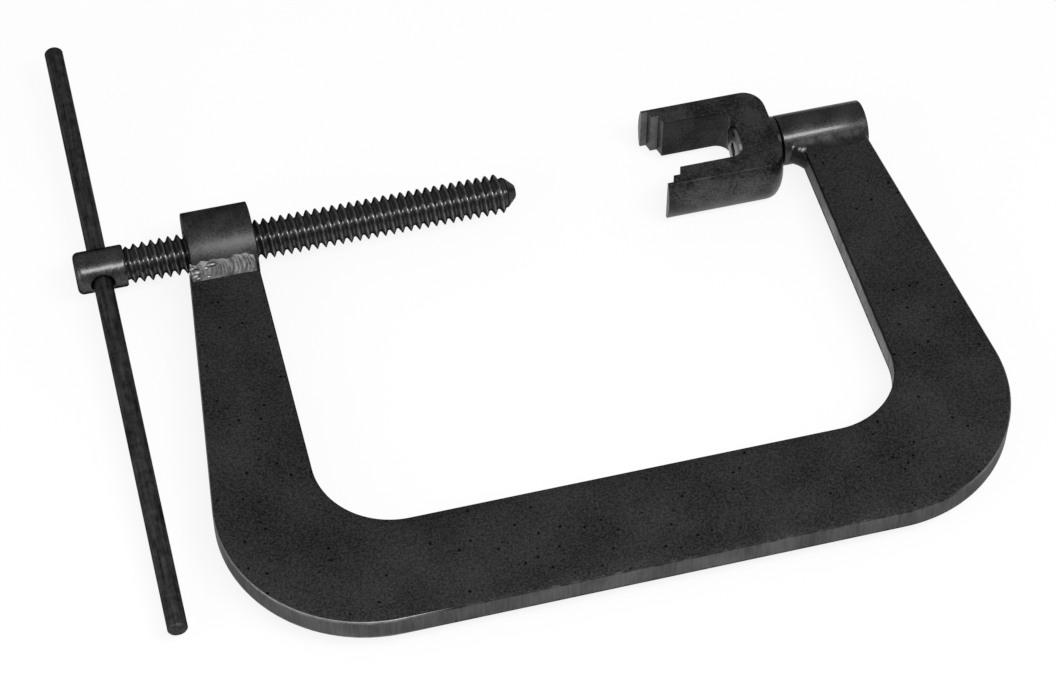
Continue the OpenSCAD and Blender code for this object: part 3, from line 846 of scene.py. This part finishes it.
class COMPRESSOR_OT_bar(bpy.types.Operator):
    """Makes the sliding bar"""
    bl_idname = "compressor.bar"
    bl_label = "T-bar"

    def execute(self, context):
        s, f = context.scene.compressor_bar, context.scene.compressor_finishes
        x0, r = span("t_bar", 0)[0] + s.thickness / 2, s.thickness / 2
        low, high = -s.slid - s.length / 2, -s.slid + s.length / 2
        slope = 0.8
        face = r - s.end * slope
        side = [[0, low], [face, low], [r, low + s.end], [r, high - s.end], [face, high], [0, high]]
        x, y, z = np.moveaxis(turned(rounded_profile(side, SMALL_ROUND)), -1, 0)
        c, d = math.cos(s.lean), math.sin(s.lean)
        grid = np.stack([x0 + y, x * c - z * d, x * d + z * c], -1)
        mesh = make_mesh("t_bar", [(grid, 0)])
        finished("sliding_bar", mesh, [bar_finish(f)], "t_bar", "bar")
        return {"FINISHED"}


class COMPRESSOR_OT_pivot(bpy.types.Operator):
    """Makes the round bar that carries the fork"""
    bl_idname = "compressor.pivot"
    bl_label = "Pivot bar"

    def execute(self, context):
        s, f = context.scene.compressor_rounds, context.scene.compressor_finishes
        (x0, x1), r = span("pivot_bar", 0), span("pivot_bar", 2)[1]
        hole = s.stud_hole / 2
        outside = rounded_profile([[hole, x0], [r, x0], [r, x1], [0, x1]], s.pivot_edge)
        profile = np.concatenate([[[0, x0 + s.stud_depth], [hole, x0 + s.stud_depth]], outside])
        mesh = make_mesh("pivot_bar", [(turned(profile), 0)])
        finish = turned_finish("blackened_pivot", f.pivot_dark, f.pivot_light, gloss=0.38, film=0.4)
        finished("round_pivot", mesh, [finish], "pivot_bar", "frame")
        return {"FINISHED"}


def fork_curves(s):
    """Outer and inner edge of the fork as functions of the height between its flats. The outer one is the
    turned blank cut at that height: y is the root of radius squared less height squared, along the
    leg, round the back corner and over the back. The inner one is the stepped slot."""
    steps, across = 8, 6
    r, half = s.blank / 2, s.slot / 2
    tip, back = -(s.step_in + s.step_out), s.slot_depth + s.base
    in_y, out_y = half + s.rise_in, half + s.rise_in + s.rise_out
    lean = math.tan(s.lean)
    path = np.array([[tip, out_y], [-s.step_in - s.rise_out * lean, out_y], [-s.step_in, in_y],
                     [-s.rise_in * lean, in_y], [0, half], [s.slot_depth, half], [s.slot_depth, 0]])
    radii = np.array([s.edge, s.edge, s.edge, s.edge * 1.5, s.slot_round])
    rounded = corner_rounds(path, radii, steps)
    leg_count = 4 * (steps + 1) + 2
    run = np.concatenate([[0], np.cumsum(np.linalg.norm(np.diff(rounded[:leg_count], axis=0), axis=1))])
    base = rounded[-2] + (rounded[-1] - rounded[-2]) * np.linspace(0, 1, across + 1)[1:, None]
    inner_half = np.concatenate([rounded[:-1], base])
    straight = tip + (back - s.back_round - tip) * run / run[-1]
    a = np.linspace(0, QUARTER, steps + 1)[1:]
    radius = np.concatenate([np.full(leg_count, r), r - s.back_round * (1 - np.cos(a))])
    place = np.concatenate([straight, back - s.back_round * (1 - np.sin(a)), np.full(across, back)])
    flat = np.linspace(1, 0, across + 1)[1:]

    def outer(z):
        y = np.sqrt(radius[:, None] ** 2 - z ** 2)
        y = np.concatenate([y, y[-1:] * flat[:, None]])
        one = np.stack([place[:, None] + 0 * y, y], -1)
        return np.concatenate([one, (one * [1, -1])[-2::-1]])

    def inner(z):
        whole = np.concatenate([inner_half, (inner_half * [1, -1])[-2::-1]])
        return np.broadcast_to(whole[:, None], (len(whole), len(z), 2))

    return outer, inner


def cut(mesh, tool, operation):
    """Joins or cuts one closed mesh with another, exactly, and gives back the result."""
    objects = [bpy.data.objects.new(m.name, m) for m in (mesh, tool)]
    for o in objects:
        bpy.context.scene.collection.objects.link(o)
    modifier = objects[0].modifiers.new("cut", "BOOLEAN")
    modifier.operation, modifier.solver, modifier.object = operation, "EXACT", objects[1]
    bpy.context.view_layer.update()
    evaluated = objects[0].evaluated_get(bpy.context.evaluated_depsgraph_get())
    result = bpy.data.meshes.new_from_object(evaluated)
    for o in objects:
        bpy.data.objects.remove(o)
    return result


class COMPRESSOR_OT_fork(bpy.types.Operator):
    """Makes the stepped swivel fork with its hub"""
    bl_idname = "compressor.fork"
    bl_label = "Swivel fork"

    def sort_faces(self, mesh, s):
        """Numbers the faces: 1 for the treads of the steps, which look across the slot before its inner
        shoulders and get painted light, 2 for the walls of the slot behind them and for the hub, which get
        painted shade, and 0 for the rest."""
        normal, middle = (np.empty(len(mesh.polygons) * 3) for _ in range(2))
        mesh.polygons.foreach_get("normal", normal)
        mesh.polygons.foreach_get("center", middle)
        (x, y, _), across = middle.reshape(-1, 3).T, normal[1::3]
        least = 0.6  # share of the normal that looks across the slot
        wall = (across * np.sign(y) < -least) & (x < s.slot_depth)
        hub = x > s.slot_depth + s.base
        numbers = np.where(wall, np.where(x < 0, 1, 2), np.where(hub, 2, 0))
        mesh.polygons.foreach_set("material_index", numbers.astype(np.int32))

    def execute(self, context):
        s, f = context.scene.compressor_fork, context.scene.compressor_finishes
        patches = flat_bar(fork_curves(s), s.edge, s.thickness, across=4, wall=16, numbers=(0, 0, 0, 0))
        legs = make_mesh("fork_legs", patches)
        back = s.slot_depth + s.base
        hub_r, edge, inside, end = s.hub_width / 2, 0.4 * MM, back - 2 * MM, back + s.hub
        hub = [[0, inside], [hub_r, inside], [hub_r, end - edge], [hub_r - edge, end], [0, end]]
        body = cut(legs, make_mesh("fork_hub", [(turned(hub), 0)]), "UNION")
        bore, spot = s.bore / 2, s.spot / 2
        sunk, through = s.slot_depth + s.spot_depth, end + MM
        tool = [[0, 0], [spot, 0], [spot, sunk], [bore, sunk], [bore, through], [0, through]]
        body = cut(body, make_mesh("fork_bore", [(turned(tool), 0)]), "DIFFERENCE")
        self.sort_faces(body, s)
        # Second finish: treads with painted light; third: slot walls and hub with painted shade
        finishes = [fork_finish("blackened_fork", f.fork_dark, f.fork_light),
                    fork_finish("painted_lit_treads", f.step_lit_dark, f.step_lit_light),
                    fork_finish("painted_shade_slot", f.slot_shade_dark, f.slot_shade_light)]
        finished("stepped_fork", body, finishes, "fork", "fork")
        return {"FINISHED"}


class COMPRESSOR_OT_pivot_screw(bpy.types.Operator):
    """Makes the shoulder screw that holds the fork, with its hexagon socket"""
    bl_idname = "compressor.pivot_screw"
    bl_label = "Pivot screw"

    def execute(self, context):
        s, f = context.scene.compressor_pivot_screw, context.scene.compressor_finishes
        x0, x1 = span("pivot_screw", 0)
        head, back = s.head / 2, x0 + s.head_height
        stud_start = back + s.shoulder_length
        lip, edge, chamfer, cone = 0.25 * MM, 0.2 * MM, 0.8 * MM, 1.2 * MM
        a = np.linspace(0, TURN, RING + 1)
        sixth = math.pi / 3
        flats = s.socket / 2 / np.cos((a + sixth / 2) % sixth - sixth / 2)
        depth = x0 + s.socket_depth
        rows = np.stack([np.full(RING + 1, head - s.head_round), flats + lip, flats, flats, 0 * flats])
        places = np.array([x0, x0, x0 + lip, depth, depth + cone])[:, None] + 0 * a
        top = np.stack([places, rows * np.cos(a), rows * np.sin(a)], -1)
        shoulder, stud = s.shoulder / 2, s.stud / 2
        rest = [[head, back - edge], [head - edge, back], [shoulder, back], [shoulder, stud_start],
                [stud, stud_start], [stud, x1 - chamfer], [stud - chamfer, x1], [0, x1]]
        side = turned(np.concatenate([end_round(head, x0, s.head_round), rest]))
        mesh = make_mesh("pivot_screw", [(top, 0), (side, 0)])
        finished("shoulder_screw", mesh, [plain_steel_finish(f)], "pivot_screw", "frame")
        return {"FINISHED"}


def bead(s, run, toe_a, toe_b, root, seed, swell, ripple, end):
    """A weld bead: its section is carried along the run. The upper side of the section swells out of the
    straight line between its two toes by a half sine, and has ripples: scales, which are the size of a
    sine of the run less a bow that is widest in the middle of the bead, stronger towards the end of the
    run and on the side of the bar. Both toes waver and both ends shrink to the root along a quarter
    circle."""
    stub, mean = 0.02, 0.6  # share left of a section at the ends, and about the mean of a scale
    sway, lump = 0.25, 0.25  # unevenness of the ripples' places and of the swell
    faint, late, steep, near_bar = 0.3, 0.3, 1.6, 1.3  # strength of the ripples along and across
    v = np.linspace(0, 1, BEAD_ACROSS + 1)[None, :, None]
    a, b, k = toe_a(run), toe_b(run), root(run)
    near = np.minimum(run - run[0], run[-1] - run) / end
    small = np.sqrt(np.clip(1 - (1 - np.clip(near, 0, 1)) ** 2, stub, 1))[:, None]
    a, b = k + (a - k) * small, k + (b - k) * small
    chord = b - a
    out = np.stack([-chord[:, 1], chord[:, 0]], -1)
    out *= np.sign((out * ((a + b) / 2 - k)).sum(1, keepdims=True))
    out /= np.linalg.norm(out, axis=1, keepdims=True)
    phase = (run[:, None, None] - s.bow * (1 - (2 * v - 1) ** 2)) / s.ripple
    phase = phase + sway * waver(run, 5, seed + 1)[:, None, None]
    scale = np.abs(np.sin(math.pi * phase)) - mean
    gone = ((run - run[0]) / (run[-1] - run[0]))[:, None, None]
    strength = (faint + (1 - faint) * ease(steep * gone - late)) * (near_bar - v)
    rise = uneven(swell, lump, run, 6, seed)[:, None, None] + ripple * scale * strength
    top = a[:, None] + chord[:, None] * v + out[:, None] * (rise * np.sin(math.pi * v) * small[:, None])
    under = np.linspace(0, 1, BEAD_UNDER + 1)[None, 1:, None]
    plate_side = b[:, None] + (k - b)[:, None] * under
    bar_side = k[:, None] + (a - k)[:, None] * under
    return np.concatenate([top, plate_side, bar_side], 1)


def bead_patches(section, run, order):
    """Puts the sections of a bead at their places along the run and closes both ends with a point."""
    place = np.broadcast_to(run[:, None, None], (*section.shape[:2], 1))
    grid = np.concatenate([section, place], -1)[..., order]
    ends = [np.stack([g, np.broadcast_to(g.mean(0), g.shape)]) for g in (grid[0], grid[-1])]
    return [(patch, 0) for patch in (grid, *ends)]


def drop_patches(bead_grid, drops):
    """Drops of weld metal sunk in a bead. Each one is a ball, longer along the run, whose middle lies under
    its point of the bead, towards the root, by a set share of its size, so that a flat cap of it shows."""
    rows, root_column, sunk = bead_grid.shape[0] - 1, BEAD_ACROSS + BEAD_UNDER, 0.7
    u, w = np.meshgrid(np.linspace(0, math.pi, 13), np.linspace(0, TURN, 25), indexing="ij")
    ball = np.stack([np.cos(u), np.sin(u) * np.cos(w), np.sin(u) * np.sin(w)], -1)
    patches = []
    for along, across, millimetres, stretch, number in drops:
        row, size = bead_grid[round(along * rows)], millimetres * MM
        point = row[round(across * BEAD_ACROSS)]
        inward = row[root_column] - point
        middle = point + inward * sunk * size / np.linalg.norm(inward)
        patches.append((middle + ball * [size * stretch, size, size], number))
    return patches


def face_bead(s, node, plate, joint, seed, side):
    """Bead between a face of the plate and a round bar: one toe is on the bar, further round it by the
    climb, the other on the plate, and the root is where the bar meets the plate."""
    radius, toe, climb, swell, ripple, reach, end = joint
    x0, x1 = span(node, 0)
    run = np.linspace(x0 - reach, x1 + s.end_reach, FACE_STATIONS)
    root_a = math.pi - math.asin(plate / radius)
    round_r = radius + CLEAR
    root_y = round_r * math.cos(root_a)

    def toe_a(x):
        t = root_a - uneven(climb, 0.2, x, 7, seed + 2)
        return np.stack([round_r * np.cos(t), round_r * np.sin(t)], -1)

    def toe_b(x):
        return np.stack([root_y - uneven(toe, 0.06, x, 8, seed + 3), plate + 0 * x], -1)

    def root(x):
        return np.stack([root_y + 0 * x, plate + CLEAR + 0 * x], -1)

    section = bead(s, run, toe_a, toe_b, root, seed, swell, ripple, end)
    return bead_patches(section * [1, side], run, [2, 0, 1])


def inner_bead(s, radius, plate, arm_x, seed):
    """Bead in the corner under the pivot bar, across the inner edge of the arm: one toe is on the bar, one
    on the edge, and the root follows the round of the bar across the plate."""
    run = np.linspace(-plate + s.inner_short, plate - s.inner_short, INNER_STATIONS)

    def under(z):
        return -np.sqrt(radius ** 2 - z ** 2) - CLEAR

    def toe_a(z):
        return np.stack([arm_x - uneven(s.inner_reach, 0.1, z, 6, seed), under(z)], -1)

    def toe_b(z):
        return np.stack([arm_x + 0 * z, under(z) - uneven(s.inner_reach, 0.1, z, 6, seed + 1)], -1)

    def root(z):
        return np.stack([arm_x + 0 * z, under(z)], -1)

    section = bead(s, run, toe_a, toe_b, root, seed, s.pivot_swell, s.pivot_ripple, s.boss_end)
    return bead_patches(section, run, [0, 1, 2])


class COMPRESSOR_OT_welds(bpy.types.Operator):
    """Makes the rippled beads that hold the boss and the pivot bar"""
    bl_idname = "compressor.welds"
    bl_label = "Weld beads"

    def execute(self, context):
        s, f = context.scene.compressor_welds, context.scene.compressor_finishes
        plate = span("c_frame", 2)[1]
        boss_r, pivot_r = span("screw_boss", 2)[1], span("pivot_bar", 2)[1]
        bare = weld_finish("weld_metal", f.weld_dark, f.weld_light, gloss=0.46)
        black = weld_finish("blackened_weld", f.black_weld_dark, f.black_weld_light, gloss=0.5)
        # Pale drops: bare spatter and a painted highlight
        glinting_drops = weld_finish("weld_drops_painted_glint", f.drop_glint_dark, f.drop_glint_light, gloss=0.42)
        boss = (boss_r, s.boss_toe, s.boss_climb, s.boss_swell, s.boss_ripple, s.boss_reach, s.boss_end)
        pivot = (pivot_r, s.pivot_toe, s.pivot_climb, s.pivot_swell, s.pivot_ripple)
        pivot_front, pivot_rear = (*pivot, s.pivot_reach, s.pivot_end), (*pivot, -s.end_reach, s.boss_end)
        for node, joint, finish, seed, side, drops in (
                ("boss_weld_front", boss, bare, 3, 1, BOSS_DROPS),
                ("boss_weld_rear", boss, bare, 13, -1, BOSS_DROPS[:3]),
                ("pivot_weld_front", pivot_front, black, 23, 1, PIVOT_DROPS),
                ("pivot_weld_rear", pivot_rear, black, 33, -1, ())):
            patches = face_bead(s, node, plate, joint, seed, side)
            patches += drop_patches(patches[0][0], drops)
            mesh = make_mesh(node, patches)
            finished("bead_" + node, mesh, [finish, glinting_drops, black], node, "frame")
        arm_x = span("pivot_weld_inner", 0)[1]
        mesh = make_mesh("pivot_weld_inner", inner_bead(s, pivot_r, plate, arm_x, 43))
        finished("bead_pivot_weld_inner", mesh, [black], "pivot_weld_inner", "frame")
        return {"FINISHED"}


def floor_finish(s):
    """Pale paper sweep. The eye, and anything that mirrors it, gets plain white with a share of the floor's
    own colour, which keeps the shadow of the object."""
    material = bpy.data.materials.new("pale_floor")
    material.use_nodes = True
    tree = material.node_tree
    tree.nodes.remove(tree.nodes["Principled BSDF"])
    add = partial(add_node, tree)
    rays = ("Camera", "Glossy", "Transmission")
    eye, mirror, glass = (add("LightPath", output=f"Is {ray} Ray") for ray in rays)
    seen = add("Math", (add("Math", (eye, mirror), operation="MAXIMUM"), glass), operation="MAXIMUM")
    share = add("Math", (seen, s.floor_white), operation="MULTIPLY")
    paper = add("BsdfDiffuse", {"Color": s.floor_colour})
    white = add("Emission", {"Strength": 1.0})
    mixed = add("MixShader", (share, paper, white))
    tree.links.new(mixed, tree.nodes["Material Output"].inputs["Surface"])
    return material


def lamp(name, watts, size, place):
    """A soft rectangular lamp that faces the middle of the object."""
    data = bpy.data.lights.new(name, "AREA")
    data.shape, data.energy = "RECTANGLE", watts
    data.size, data.size_y = size
    lamp_object = bpy.data.objects.new(name, data)
    bpy.context.scene.collection.objects.link(lamp_object)
    back = Vector(place) - Vector(LAMP_TARGET)
    lamp_object.matrix_world = Matrix.Translation(place) @ back.to_track_quat("Z", "Y").to_matrix().to_4x4()


class COMPRESSOR_OT_stage(bpy.types.Operator):
    """Makes the camera, the pale floor and the soft studio light"""
    bl_idname = "compressor.stage"
    bl_label = "Studio"

    def execute(self, context):
        scene, s = context.scene, context.scene.compressor_studio
        camera = bpy.data.cameras.new("camera")
        camera.lens, camera.sensor_width, camera.sensor_fit = s.lens, 36, "HORIZONTAL"
        camera.clip_start, camera.clip_end = 0.05, 20
        camera.shift_x, camera.shift_y = s.shift
        eye = bpy.data.objects.new("camera", camera)
        scene.collection.objects.link(eye)
        turns = ((s.turn, "Z"), (s.tilt, "X"), (s.roll, "Z"))
        turn, tilt, roll = (Matrix.Rotation(a, 4, axis) for a, axis in turns)
        eye.matrix_world = Matrix.Translation(s.eye) @ (turn @ tilt @ roll)
        scene.camera = eye
        half, z = s.floor_size / 2, CAD_LOW[2] - FLOOR_GAP
        floor = bpy.data.meshes.new("floor")
        corners = [(-half, -half, z), (half, -half, z), (half, half, z), (-half, half, z)]
        floor.from_pydata(corners, [], [(0, 1, 2, 3)])
        floor.materials.append(floor_finish(s))
        sheet = bpy.data.objects.new("floor", floor)
        scene.collection.objects.link(sheet)
        for (name, size, place), watts in zip(LAMPS, (s.key_power, s.fill_power)):
            lamp(name, watts, size, place)
        world = bpy.data.worlds.new("studio")
        world.use_nodes = True
        light = world.node_tree.nodes["Background"].inputs
        light["Strength"].default_value, light["Color"].default_value = s.dome, (1, 1, 1, 1)
        scene.world = world
        scene.view_settings.view_transform = "Standard"
        return {"FINISHED"}


class COMPRESSOR_PT_panel(bpy.types.Panel):
    """Lists the pieces of the compressor"""
    bl_idname = "COMPRESSOR_PT_panel"
    bl_label = "Valve spring compressor"
    bl_space_type = "VIEW_3D"
    bl_region_type = "UI"
    bl_category = "Compressor"

    def draw(self, context):
        for operator in OPERATORS:
            self.layout.operator(operator.bl_idname)


OPERATORS = (
    COMPRESSOR_OT_stage,
    COMPRESSOR_OT_plate,
    COMPRESSOR_OT_boss,
    COMPRESSOR_OT_screw,
    COMPRESSOR_OT_nose,
    COMPRESSOR_OT_bar,
    COMPRESSOR_OT_pivot,
    COMPRESSOR_OT_fork,
    COMPRESSOR_OT_pivot_screw,
    COMPRESSOR_OT_welds,
)
GROUPS = {
    "compressor_plate": PlateSizes,
    "compressor_screw": ScrewSizes,
    "compressor_bar": BarSizes,
    "compressor_rounds": RoundSizes,
    "compressor_fork": ForkSizes,
    "compressor_pivot_screw": PivotScrewSizes,
    "compressor_welds": WeldSizes,
    "compressor_finishes": Finishes,
    "compressor_studio": Studio,
}
CLASSES = (*GROUPS.values(), *OPERATORS, COMPRESSOR_PT_panel)


def register():
    for each in CLASSES:
        bpy.utils.register_class(each)
    for name, group in GROUPS.items():
        setattr(bpy.types.Scene, name, bpy.props.PointerProperty(type=group))


def unregister():
    for name in GROUPS:
        delattr(bpy.types.Scene, name)
    for each in reversed(CLASSES):
        bpy.utils.unregister_class(each)


def main():
    register()
    for operator in OPERATORS:
        group, name = operator.bl_idname.split(".")
        getattr(getattr(bpy.ops, group), name)()


if __name__ == "__main__":
    main()
